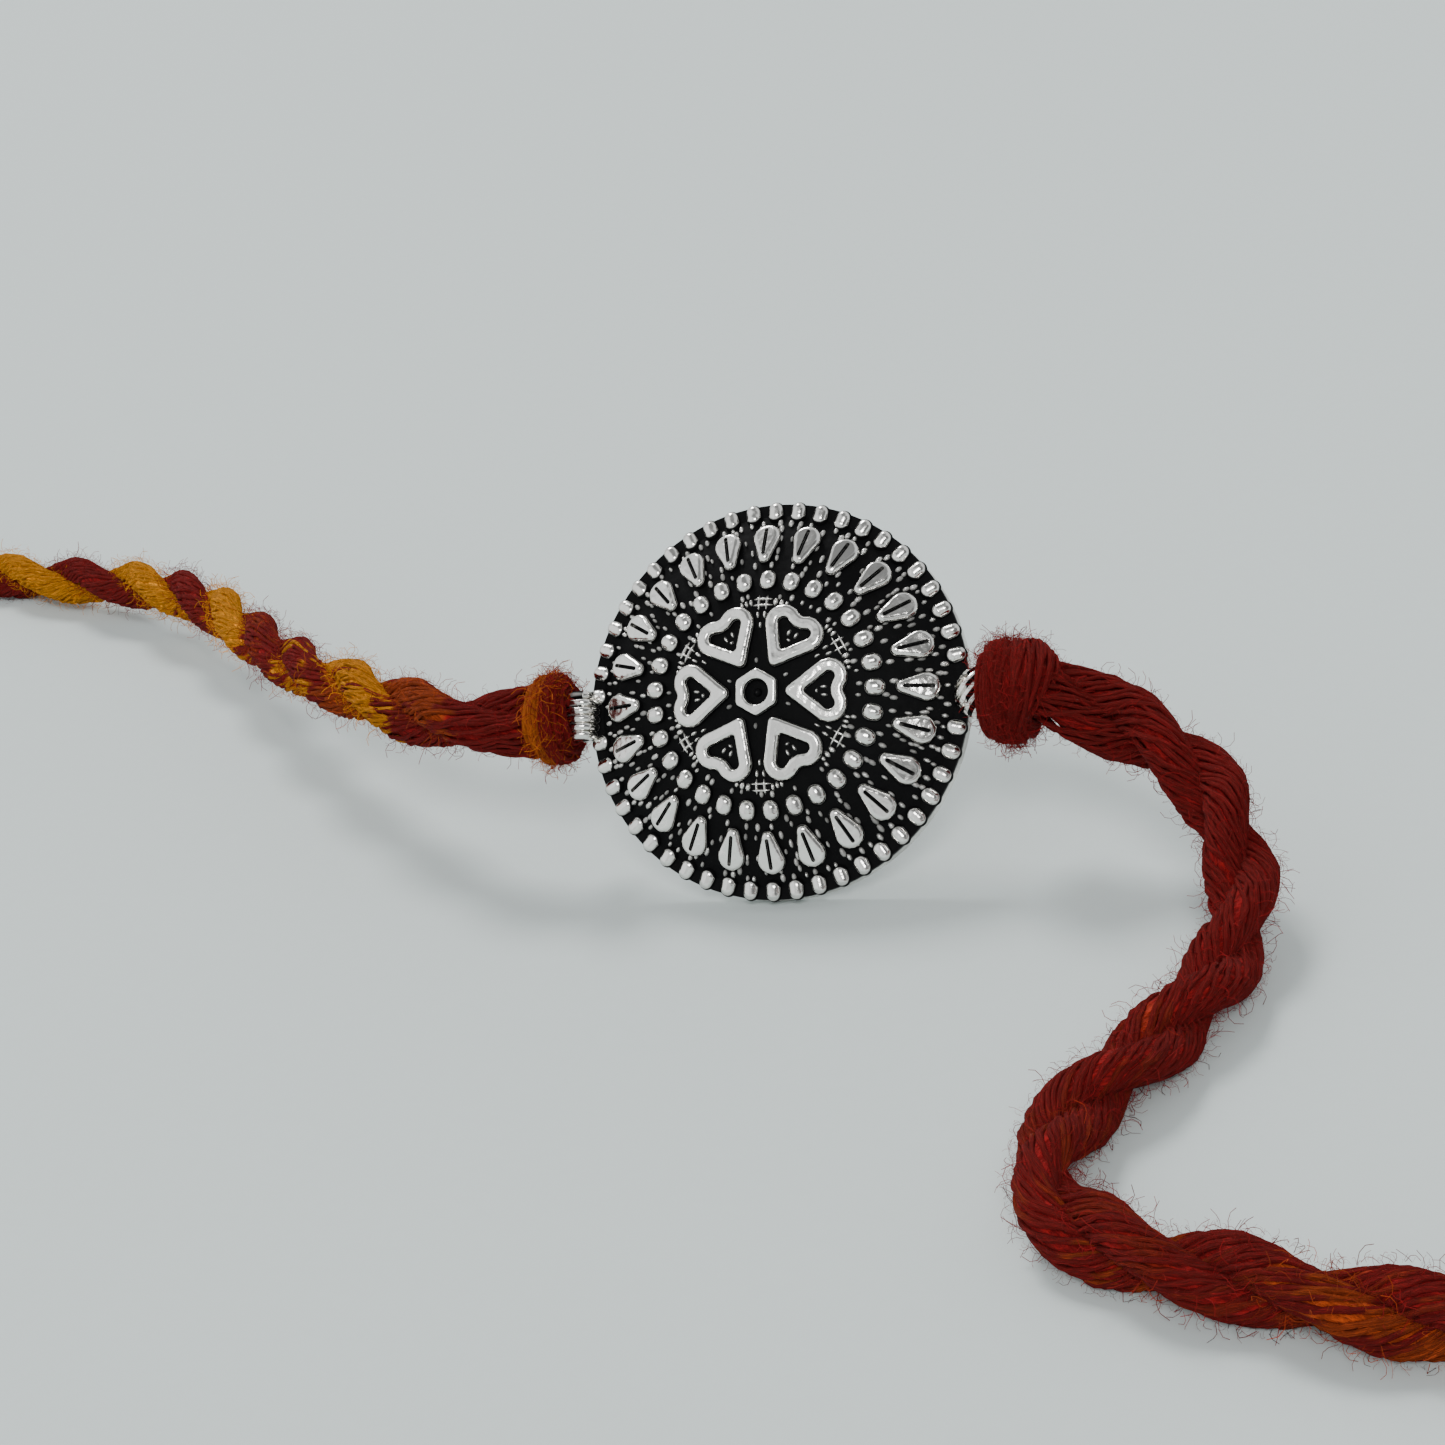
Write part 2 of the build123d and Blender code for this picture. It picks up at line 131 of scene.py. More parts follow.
# Rings of granules: radius in mm, count, first one's degrees, size, stretch, share kept, jitter, wear
GRANULE_RINGS = (
    (11.68, 90, 1.0, 0.90, 1.7, 0.90, 0.7, 0.9),
    (11.25, 48, 5.2, 0.90, 1.9, 0.90, 0.7, 0.9),
    (10.75, 24, 9.0, 0.95, 1.9, 0.95, 0.6, 0.8),
    (10.45, 24, 7.3, 0.70, 2.2, 0.80, 0.6, 0.7),
    (10.45, 24, 10.7, 0.70, 2.2, 0.80, 0.6, 0.7),
    (10.10, 24, 9.0, 0.80, 1.8, 0.80, 0.6, 0.6),
    (9.60, 24, 9.0, 0.80, 2.2, 0.90, 0.6, 0.7),
    (9.10, 48, 5.2, 0.80, 1.9, 0.60, 0.5, 0.6),
    (8.55, 48, 5.2, 0.90, 1.8, 0.90, 0.6, 0.8),
    (8.15, 29, 7.7, 0.85, 1.7, 0.80, 0.5, 0.7),
    (6.45, 58, 4.6, 0.80, 1.6, 0.80, 0.6, 0.8),
    (2.15, 6, 30.0, 0.80, 1.6, 1.0, 0.3, 0.5),
)

# Marks round each gap between hearts: radius in mm, degrees from the gap, lie in degrees from radial, size, stretch
HEART_MARKS = (
    # The lattice of bars in the gap
    (5.78, 0.0, 90.0, 0.50, 9.0), (6.20, 0.0, 90.0, 0.50, 8.0),
    (5.98, -2.6, 0.0, 0.50, 6.5), (5.98, 2.6, 0.0, 0.50, 6.5),
    # Bits on both sides of the lattice and below it
    (6.05, -8.2, 0.0, 1.0, 1.7), (6.0, -12.2, 0.0, 1.0, 1.7), (6.0, -15.8, 0.0, 0.8, 1.5),
    (6.05, 7.8, 0.0, 0.7, 2.2), (6.0, 10.8, 0.0, 0.7, 2.2), (6.0, 13.8, 0.0, 0.7, 2.0),
    (5.15, -2.2, 0.0, 0.7, 2.2), (5.15, 3.0, 0.0, 0.6, 2.4), (4.45, 0.5, 0.0, 0.6, 2.2),
    # Three bits in the pocket of the next heart
    (4.35, 26.4, 0.0, 0.65, 2.3), (4.30, 33.4, 0.0, 0.65, 2.3), (3.85, 30.0, 90.0, 0.6, 1.6),
)
HEARTS, FIRST_GAP, MARK_WEAR = 6, 30.0, 0.9

# The photograph's camera, and the lamps: name, direction towards it, width in radians, share of the key power
EYE_PLACE = Vector((0.05838, -0.14064, 0.08172))
EYE_FORWARD = Vector((-0.3561, 0.8396, -0.4102))
EYE_UP = Vector((0.0386, 0.4518, 0.8913))
LAMPS = (
    ("back", Vector((-0.46, 0.65, 1.0)), 0.30, 1.0),
    ("front", Vector((0.42, -1.05, 1.0)), 0.34, 0.85),
)
PALE_WALL, DARK_WALL = (-0.81, -0.46, 0.36), (0.62, -0.55, 0.56)
SKY_TINT = (0.95, 0.98, 1.0, 1.0)
FLOOR_REACH = 6.0


def length_property(name, description, default):
    return FloatProperty(name=name, description=description, default=default, subtype="DISTANCE", unit="LENGTH",
                         precision=5)


def colour_property(name, description, default):
    return FloatVectorProperty(name=name, description=description, default=default, subtype="COLOR", size=3,
                               min=0.0, max=1.0)


class MedallionSettings(bpy.types.PropertyGroup):
    """Finish and fine relief of the medallion."""

    silver: colour_property("Silver", "Colour of the polished relief", (0.95, 0.93, 0.885))
    patina: colour_property("Patina", "Colour of the blackened recesses", (0.004, 0.004, 0.0042))
    patina_depth: length_property("Patina depth", "Relief height up to which the black stays", 0.32 * MM)
    granule_size: length_property("Granule size", "Half width of the fine granules", 0.17 * MM)


class CordSettings(bpy.types.PropertyGroup):
    """Make of the twisted cords."""

    yarn_radius: length_property("Yarn radius", "Half thickness of one yarn", 0.17 * MM)
    strand_radius: length_property("Strand radius", "From a strand's middle to its outer yarns", 1.12 * MM)
    strand_offset: length_property("Strand offset", "From the cord's middle to a strand's middle", 0.88 * MM)
    left_lay: length_property("Left lay", "Length of one whole turn of the left cord's strands", 22.0 * MM)
    right_lay: length_property("Right lay", "Length of one whole turn of the right cord's strands", 16.0 * MM)
    yarns: IntProperty(name="Yarns", description="Yarns round each strand", default=25, min=5, max=40)
    fuzz_length: length_property("Fuzz length", "Length of the loose fibres", 0.95 * MM)
    fuzz_density: FloatProperty(name="Fuzz density", description="Loose fibres on each square metre", default=6.0e6)
    maroon: colour_property("Maroon", "Colour of the dark yarn", (0.212, 0.0080, 0.0090))
    orange: colour_property("Orange", "Colour of the orange yarn", (0.42, 0.072, 0.010))
    gold: colour_property("Gold", "Colour of the golden yarn", (0.74, 0.285, 0.010))


class BindingSettings(bpy.types.PropertyGroup):
    """Bindings at the medallion and knots at the cords' ends."""

    thread_pitch: length_property("Thread pitch", "From one turn of yarn to the next", 0.21 * MM)
    left_radius: length_property("Left radius", "Radius over the left binding", 3.15 * MM)
    right_radius: length_property("Right radius", "Radius over the right binding", 3.4 * MM)
    knot_radius: length_property("Knot radius", "Radius over an end knot", 3.1 * MM)


class StageSettings(bpy.types.PropertyGroup):
    """Floor, light and camera."""

    floor: colour_property("Floor", "Colour of the floor", (0.60, 0.66, 0.648))
    key_power: FloatProperty(name="Key power", default=1.95,
                             description="Strength of the lamp at the back; the front one follows it")
    sky: FloatProperty(name="Sky", description="Strength of the light from all round", default=0.84)
    lens: FloatProperty(name="Lens", description="Focal length in millimetres", default=66.3)


class Term:
    """One socket's value, so that node maths reads as plain arithmetic."""

    def __init__(self, graph, socket):
        self.graph, self.socket = graph, socket

    def _math(self, operation, first, second):
        return self.graph.node("ShaderNodeMath", {"operation": operation}, {0: first, 1: second})

    def __add__(self, other):
        return self._math("ADD", self, other)

    def __radd__(self, other):
        return self._math("ADD", other, self)

    def __sub__(self, other):
        return self._math("SUBTRACT", self, other)

    def __rsub__(self, other):
        return self._math("SUBTRACT", other, self)

    def __mul__(self, other):
        return self._math("MULTIPLY", self, other)

    def __rmul__(self, other):
        return self._math("MULTIPLY", other, self)

    def __truediv__(self, other):
        return self._math("DIVIDE", self, other)

    def other(self, name):
        """Another output of the same node."""
        return Term(self.graph, self.socket.node.outputs[name])


class Graph:
    """Adds nodes to one tree."""

    def __init__(self, tree):
        self.tree = tree

    def node(self, kind, settings=None, values=None, output=0):
        """Makes a node from its type, its settings, and its sockets' values or links; gives one output."""
        made = self.tree.nodes.new(kind)
        for name, value in (settings or {}).items():
            if name == "stops":
                ramp = made.color_ramp
                ramp.interpolation = "CONSTANT"
                ramp.elements[-1].position = value[-1][0]
                for place, _ in value[1:-1]:
                    ramp.elements.new(place)
                for element, (_, colour) in zip(ramp.elements, value):
                    element.color = (*colour, 1.0)
            else:
                setattr(made, name, value)
        for key, value in (values or {}).items():
            if isinstance(value, Term):
                self.tree.links.new(value.socket, made.inputs[key])
            else:
                made.inputs[key].default_value = value
        return Term(self, made.outputs[output]) if made.outputs else None

    def function(self, operation, *values):
        return self.node("ShaderNodeMath", {"operation": operation}, dict(enumerate(values)))

    def vector(self, operation, first, second=None, scale=None):
        values = {0: first}
        if second is not None:
            values[1] = second
        if scale is not None:
            values[3] = scale
        output = "Value" if operation in ("LENGTH", "DOT_PRODUCT") else "Vector"
        return self.node("ShaderNodeVectorMath", {"operation": operation}, values, output)

    def join(self, x, y, z):
        return self.node("ShaderNodeCombineXYZ", {}, {0: x, 1: y, 2: z})

    def split(self, vector):
        first = self.node("ShaderNodeSeparateXYZ", {}, {0: vector})
        return first, first.other("Y"), first.other("Z")

    def between(self, first, by, second, by_second):
        """The sum of two directions, each times its own length."""
        return self.vector("ADD", self.vector("SCALE", first, scale=by), self.vector("SCALE", second, scale=by_second))

    def step(self, value, low, high, kind="SMOOTHSTEP"):
        """0 below low, 1 above high, and smooth or linear between."""
        return self.node("ShaderNodeMapRange", {"interpolation_type": kind},
                         {0: value, 1: low, 2: high, 3: 0.0, 4: 1.0})

    def noise(self, vector, scale, detail=2.0, roughness=0.5):
        return self.node("ShaderNodeTexNoise", {}, {"Vector": vector, "Scale": scale, "Detail": detail,
                                                    "Roughness": roughness})

    def attribute(self, name, output="Fac"):
        """What a piece's points hold under this name, for its material."""
        return self.node("ShaderNodeAttribute", {"attribute_name": name}, output=output)

    def blend(self, factor, first, second):
        """A colour between two colours."""
        return self.node("ShaderNodeMix", {"data_type": "RGBA"}, {0: factor, 6: first, 7: second}, 2)


def new_material(name):
    """A fresh material with its graph, its surface shader and its output."""
    material = bpy.data.materials.new(name)
    material.use_nodes = True
    material.node_tree.nodes.clear()
    graph = Graph(material.node_tree)
    surface = graph.node("ShaderNodeBsdfPrincipled")
    graph.node("ShaderNodeOutputMaterial", {}, {"Surface": surface})
    return material, graph, surface.socket.node


def feed(graph, shader, values):
    """Links or sets the shader's sockets."""
    for key, value in values.items():
        if isinstance(value, Term):
            graph.tree.links.new(value.socket, shader.inputs[key])
        else:
            shader.inputs[key].default_value = value


def rgba(colour):
    return (*colour, 1.0)


def worn_silver(name, settings, granules):
    """Black in the recesses, worn bright on the relief, by each point's height over the dome."""
    material, graph, shader = new_material(name)
    place = graph.node("ShaderNodeTexCoord", output="Object")
    lift = graph.vector("LENGTH", graph.vector("SUBTRACT", place, tuple(DOME_CENTRE))) - DOME_SPHERE
    broad = graph.noise(place, 420.0, 3.0)
    fine = graph.noise(place, 2600.0, 4.0, 0.6)
    if granules:
        worn = graph.attribute("worn")
        bright = worn * graph.step(lift, 0.02 * MM, 0.10 * MM)
    else:
        from_face = graph.vector("SUBTRACT", place, tuple(FACE_CENTRE))
        height = graph.vector("DOT_PRODUCT", from_face, tuple(FACE_NORMAL))
        flat = graph.vector("SUBTRACT", from_face, graph.vector("SCALE", tuple(FACE_NORMAL), scale=height))
        across = graph.vector("LENGTH", flat)
        rim = graph.step(across, DOME_RADIUS - 0.05 * MM, DOME_RADIUS + 0.10 * MM)
        relief = lift + rim * (height + 0.10 * MM - lift)
        depth = settings.patina_depth
        ragged = (fine - 0.5) * (0.10 * MM) + (broad - 0.5) * (0.06 * MM)
        polished = graph.step(relief + ragged, depth - 0.06 * MM, depth + 0.05 * MM)
        x = graph.vector("DOT_PRODUCT", flat, tuple(FACE_RIGHT))
        y = graph.vector("DOT_PRODUCT", flat, tuple(FACE_UP))
        # The right lug's ribs are slanted; the half pitch puts the middle of one at 13.5 mm
        slant, pitch = math.radians(50.0), 0.54 * MM
        cross = (y * math.cos(slant) - (x - 13.5 * MM) * math.sin(slant)) / pitch + 0.5
        right_ribs = 1.0 - graph.step(graph.function("ABSOLUTE", graph.function("FRACT", cross) - 0.5), 0.22, 0.32)
        # The left lug is a barrel that narrows away from its middle; its rings reach the barrel's surface
        side, barrel, narrowing, reach = x + 13.6 * MM, 1.25 * MM, 0.3125 * MM, 1.6 * MM
        from_axis = graph.function("SQRT", side * side + (height - LUG_LIFT) * (height - LUG_LIFT))
        crest = barrel - y * y * (narrowing / reach**2)
        left_ribs = graph.step(from_axis - crest, -0.20 * MM, -0.08 * MM)
        on_right = graph.step(x, -MM, MM)
        on_lug = graph.step(across, RIM_RADIUS + 0.18 * MM, RIM_RADIUS + 0.26 * MM)
        ribs = left_ribs + on_right * (right_ribs - left_ribs)
        polished = polished + on_lug * (ribs - polished)
        # The back is worn too, but for patches of tarnish
        behind = 1.0 - graph.step(height, -0.55 * MM, -0.15 * MM)
        tarnish = graph.step(broad, 0.40, 0.72)
        bright = graph.function("MAXIMUM", polished, behind * (0.88 - 0.30 * tarnish))
    dull = graph.blend(fine, rgba(settings.silver), rgba([0.82 * c for c in settings.silver]))
    colour = graph.blend(bright, rgba(settings.patina), dull)
    facets = graph.noise(place, 1300.0, 1.0)
    bump = graph.node("ShaderNodeBump", {}, {"Strength": 0.8, "Distance": 0.06 * MM,
                                             "Height": fine * 0.4 + broad * 1.4 + facets * 1.3})
    feed(graph, shader, {
        "Base Color": colour,
        "Metallic": bright,
        "Roughness": 0.55 - 0.43 * bright + 0.10 * fine,
        "Specular IOR Level": 0.05,
        "Normal": bump,
    })
    return material


def thread(settings):
    """Spun cotton yarn: its tint comes from the spun piece, its fibres run along it."""
    material, graph, shader = new_material("thread")
    tint = graph.attribute("tint")
    along = graph.attribute("along")
    yarn = graph.attribute("yarn")
    ring_x, ring_y, _ = graph.split(graph.attribute("ring", "Vector"))
    fibre = graph.join(ring_x * 2.6 + yarn * 3.7, ring_y * 2.6 + along * 900.0, along * 650.0 + yarn * 9.1)
    streak = graph.step(graph.noise(fibre, 1.5, 3.0, 0.65), 0.30, 0.72)
    blotch = graph.noise(graph.join(yarn * 5.3, along * 210.0, 0.0), 1.0, 2.0)
    base = graph.blend(graph.step(tint, 0.0, 0.5, "LINEAR"), rgba(settings.maroon), rgba(settings.orange))
    base = graph.blend(graph.step(tint, 0.5, 1.0, "LINEAR"), base, rgba(settings.gold))
    colour = graph.vector("SCALE", base, scale=0.38 + 0.98 * streak + 0.62 * (blotch - 0.4))
    bump = graph.node("ShaderNodeBump", {}, {"Strength": 1.0, "Distance": 0.14 * MM, "Height": streak})
    feed(graph, shader, {
        "Base Color": colour,
        "Roughness": 0.92,
        "Sheen Weight": 0.06,
        "Sheen Roughness": 0.5,
        "Sheen Tint": (1.0, 0.35, 0.25, 1.0),
        "Specular IOR Level": 0.08,
        "Normal": bump,
    })
    return material


def paper_floor(settings):
    """A plain pale floor with hardly any grain."""
    material, graph, shader = new_material("floor")
    place = graph.node("ShaderNodeTexCoord", output="Object")
    grain = graph.noise(place, 900.0, 3.0)
    colour = graph.blend(grain, rgba([0.985 * c for c in settings.floor]), rgba([1.015 * c for c in settings.floor]))
    feed(graph, shader, {"Base Color": colour, "Roughness": 0.75, "Specular IOR Level": 0.2})
    return material


class Tree(Graph):
    """A geometry tree with named inputs."""

    def __init__(self, name, inputs):
        tree = bpy.data.node_groups.new(name, "GeometryNodeTree")
        tree.interface.new_socket("Geometry", in_out="INPUT", socket_type="NodeSocketGeometry")
        for label, (kind, default) in inputs.items():
            socket = tree.interface.new_socket(label, in_out="INPUT", socket_type="NodeSocket" + kind)
            socket.default_value = default
        tree.interface.new_socket("Geometry", in_out="OUTPUT", socket_type="NodeSocketGeometry")
        super().__init__(tree)
        self.entry = tree.nodes.new("NodeGroupInput")

    def given(self, label):
        return Term(self, self.entry.outputs[label])

    def store(self, geometry, name, value, kind="FLOAT"):
        return self.node("GeometryNodeStoreNamedAttribute", {"data_type": kind},
                         {"Geometry": geometry, "Name": name, "Value": value})

    def random(self, low, high, index, seed):
        """A fixed random number for each index."""
        return self.node("FunctionNodeRandomValue", {"data_type": "FLOAT"},
                         {2: low, 3: high, "ID": index, "Seed": seed}, 1)

    def held(self, name):
        """The number that each point holds under this name."""
        return self.node("GeometryNodeInputNamedAttribute", {"data_type": "FLOAT"}, {"Name": name})

    def circle(self, sides, radius):
        return self.node("GeometryNodeCurvePrimitiveCircle", {"mode": "RADIUS"},
                         {"Resolution": sides, "Radius": radius})

    def finish(self, geometry, material):
        """Realizes what the tree made, gives it its material and ends the tree."""
        whole = self.node("GeometryNodeRealizeInstances", {}, {0: geometry})
        whole = self.node("GeometryNodeSetShadeSmooth", {}, {0: whole})
        whole = self.node("GeometryNodeSetMaterial", {}, {"Geometry": whole, "Material": material})
        end = self.tree.nodes.new("NodeGroupOutput")
        self.tree.links.new(whole.socket, end.inputs[0])
        return self.tree


def spun_tube(tree, lines, sides, thickness, core):
    """Lines made into tubes whose points know their place round the yarn, and whether they are a core."""
    lines = tree.store(lines, "core", core)
    round_yarn = tree.vector("NORMALIZE", tree.node("GeometryNodeInputPosition"))
    circle = tree.store(tree.circle(sides, thickness), "ring", round_yarn, "FLOAT_VECTOR")
    return tree.node("GeometryNodeCurveToMesh", {}, {"Curve": lines, "Profile Curve": circle, "Fill Caps": True})


def over_floor(tree, geometry, gap):
    """Lifts whatever is lower than the gap up to it."""
    x, y, z = tree.split(tree.node("GeometryNodeInputPosition"))
    place = tree.join(x, y, tree.function("MAXIMUM", z, gap))
    return tree.node("GeometryNodeSetPosition", {}, {"Geometry": geometry, "Position": place})


def join_two(tree, first, second):
    both = tree.node("GeometryNodeJoinGeometry", {}, {0: first})
    tree.tree.links.new(second.socket, both.socket.node.inputs[0])
    return both


def rope_tree(name, material, bands, length):
    """Two strands laid round the route, each of many fine yarns round a core, tinted in bands along them."""
    tree = Tree(name, {
        "Strands": ("Int", 2), "Yarns": ("Int", 25), "Step": ("Float", 0.4 * MM),
        "Lay length": ("Float", 16.0 * MM), "Phase": ("Float", 0.0),
        "Loose length": ("Float", 3.0 * MM), "Strand offset": ("Float", 0.88 * MM),
        "Strand radius": ("Float", 1.12 * MM), "Yarn radius": ("Float", 0.17 * MM), "Swell": ("Float", 0.32),
        "Seed": ("Int", 1),
    })
    given = tree.given
    route = tree.node("GeometryNodeMeshToCurve", {}, {0: given("Geometry")})
    route = tree.node("GeometryNodeResampleCurve", {"mode": "LENGTH"}, {"Curve": route, "Length": given("Step")})
    ramps = [[(min(start * MM / length, 1.0), (tint, share, 0.0)) for start, tint, share in band] for band in bands]

    def laid(amount_each, radius_share, thickness, sides, core):
        """The paths of all yarns, or of the strands' cores, made into tubes."""
        copies = tree.node("GeometryNodeDuplicateElements", {"domain": "SPLINE"},
                           {"Geometry": route, "Amount": given("Strands") * amount_each})
        index = copies.other("Duplicate Index")
        strand = tree.function("FLOOR", (index + 0.5) / amount_each)
        yarn = index - strand * amount_each
        along = tree.node("GeometryNodeSplineParameter", output="Length")
        # The strands start untwisted and take up their lay over the loose length
        loose = given("Loose length")
        turned = along + loose * tree.function("EXPONENT", 0.0 - along / loose) - loose
        wander = tree.noise(tree.join(along * 110.0, 0.0, given("Seed")), 1.0, 1.0) - 0.5
        lay = turned * (2 * math.pi) / given("Lay length") + wander * 0.9 + given("Phase")
        lay = lay + strand * (2 * math.pi) / given("Strands")
        # Each yarn turns back against the lay round its own strand
        own = yarn * (2 * math.pi) / amount_each - 1.12 * lay + tree.random(-0.16, 0.16, index, given("Seed"))
        own = own + (tree.noise(tree.join(along * 330.0, index * 3.17, given("Seed")), 1.0, 2.0) - 0.5) * 1.1
        swell = 1.0 + given("Swell") * tree.function("EXPONENT", 0.0 - along / (10.0 * MM))
        plump = 1.0 + 0.40 * (tree.noise(tree.join(along * 150.0, strand * 5.1, given("Seed")), 1.0, 2.0) - 0.5)
        uneven = 1.0 + 0.46 * (tree.noise(tree.join(along * 560.0, index * 1.93, given("Seed")), 1.0, 2.0) - 0.5)
        centre_out = given("Strand offset") * (0.5 + 0.5 * swell)
        yarn_out = given("Strand radius") * swell * plump * uneven * radius_share
        normal = tree.node("GeometryNodeInputNormal")
        binormal = tree.vector("CROSS_PRODUCT", tree.node("GeometryNodeInputTangent"), normal)
        side = centre_out * tree.function("COSINE", lay) + yarn_out * tree.function("COSINE", own)
        rise = centre_out * tree.function("SINE", lay) + yarn_out * tree.function("SINE", own)
        shift = tree.between(normal, side, binormal, rise)
        x, y, z = tree.split(tree.vector("ADD", tree.node("GeometryNodeInputPosition"), shift))
        place = tree.join(x, y, tree.function("MAXIMUM", z, thickness))
        # Tints come in patches of a few yarns, and each yarn changes at its own place
        first = 1.0 - tree.step(strand, 0.2, 0.8, "LINEAR")
        spot = (along + tree.random(-1.5 * MM, 1.5 * MM, index, given("Seed") + 5.0)) / length
        patch = tree.noise(tree.join(along * 260.0, index * 0.32, given("Seed") + 7.0), 1.0, 1.0)
        draw = 0.5 + (patch - 0.5) * 1.7 + tree.random(-0.14, 0.14, index, given("Seed") + 7.0)
        tints = []
        for stops in ramps:
            ramp = tree.node("ShaderNodeValToRGB", {"stops": stops}, {0: spot})
            tint, share, _ = tree.split(ramp)
            tints.append(tint * tree.step(share - draw, -0.03, 0.03, "LINEAR"))
        lines = tree.store(copies, "tint", tints[1] + first * (tints[0] - tints[1]))
        lines = tree.store(lines, "along", along)
        lines = tree.store(lines, "yarn", index)
        lines = tree.node("GeometryNodeSetPosition", {}, {"Geometry": lines, "Position": place})
        swollen = swell * plump if core else 0.30 + 1.4 * tree.noise(
            tree.join(along * 520.0, index * 4.7, given("Seed")), 1.0, 2.0)
        lines = tree.node("GeometryNodeSetCurveRadius", {}, {"Curve": lines, "Radius": swollen})
        return spun_tube(tree, lines, sides, thickness, core)

    yarns = laid(given("Yarns"), 1.0, given("Yarn radius"), 5, 0.0)
    cores = laid(1.0, 0.0, given("Strand radius") * 0.96, 10, 1.0)
    return tree.finish(over_floor(tree, join_two(tree, yarns, cores), 0.0), material)


def fuzz_tree(material):
    """Fine curled fibres that stand off a spun piece, spread over its cores and lifted past its yarns."""
    tree = Tree("raise_fuzz", {
        "Density": ("Float", 6.0e6), "Length": ("Float", 0.95 * MM), "Lift": ("Float", ROPE_FUZZ_LIFT),
        "Fibre radius": ("Float", 0.013 * MM), "Seed": ("Int", 1),
    })
    given = tree.given
    chosen = tree.node("FunctionNodeCompare", {"data_type": "FLOAT", "operation": "GREATER_THAN"},
                       {0: tree.held("core"), 1: 0.5})
    points = tree.node("GeometryNodeDistributePointsOnFaces", {"distribute_method": "RANDOM"},
                       {"Mesh": given("Geometry"), "Selection": chosen, "Density": given("Density"),
                        "Seed": given("Seed")})
    turned = points.other("Rotation")
    raised = tree.node("GeometryNodeSetPosition", {}, {
        "Geometry": points, "Offset": tree.vector("SCALE", points.other("Normal"), scale=given("Lift"))})
    length = given("Length")
    fibre = tree.node("GeometryNodeCurveQuadraticBezier", {}, {
        "Resolution": 3, "Start": tree.join(0.0, 0.0, -0.15 * length),
        "Middle": tree.join(0.05 * length, 0.10 * length, 0.60 * length),
        "End": tree.join(0.70 * length, 0.25 * length, 0.42 * length)})
    fibre = tree.node("GeometryNodeCurveToMesh", {}, {
        "Curve": fibre, "Profile Curve": tree.circle(3, given("Fibre radius"))})
    index = tree.node("GeometryNodeInputIndex")
    size = tree.function("POWER", tree.random(0.0, 1.0, index, given("Seed")), 3.0) * 1.25 + 0.36
    spread = tree.node("GeometryNodeInstanceOnPoints", {}, {
        "Points": raised, "Instance": fibre, "Rotation": turned, "Scale": size})
    turn = tree.node("FunctionNodeRandomValue", {"data_type": "FLOAT_VECTOR"}, {
        0: (-1.0, -1.0, -3.2), 1: (1.0, 1.0, 3.2), "ID": index, "Seed": given("Seed")}, 0)
    spread = tree.node("GeometryNodeRotateInstances", {}, {"Instances": spread, "Rotation": turn})
    spread = tree.node("GeometryNodeRealizeInstances", {}, {0: spread})
    return tree.finish(over_floor(tree, spread, 0.02 * MM), material)


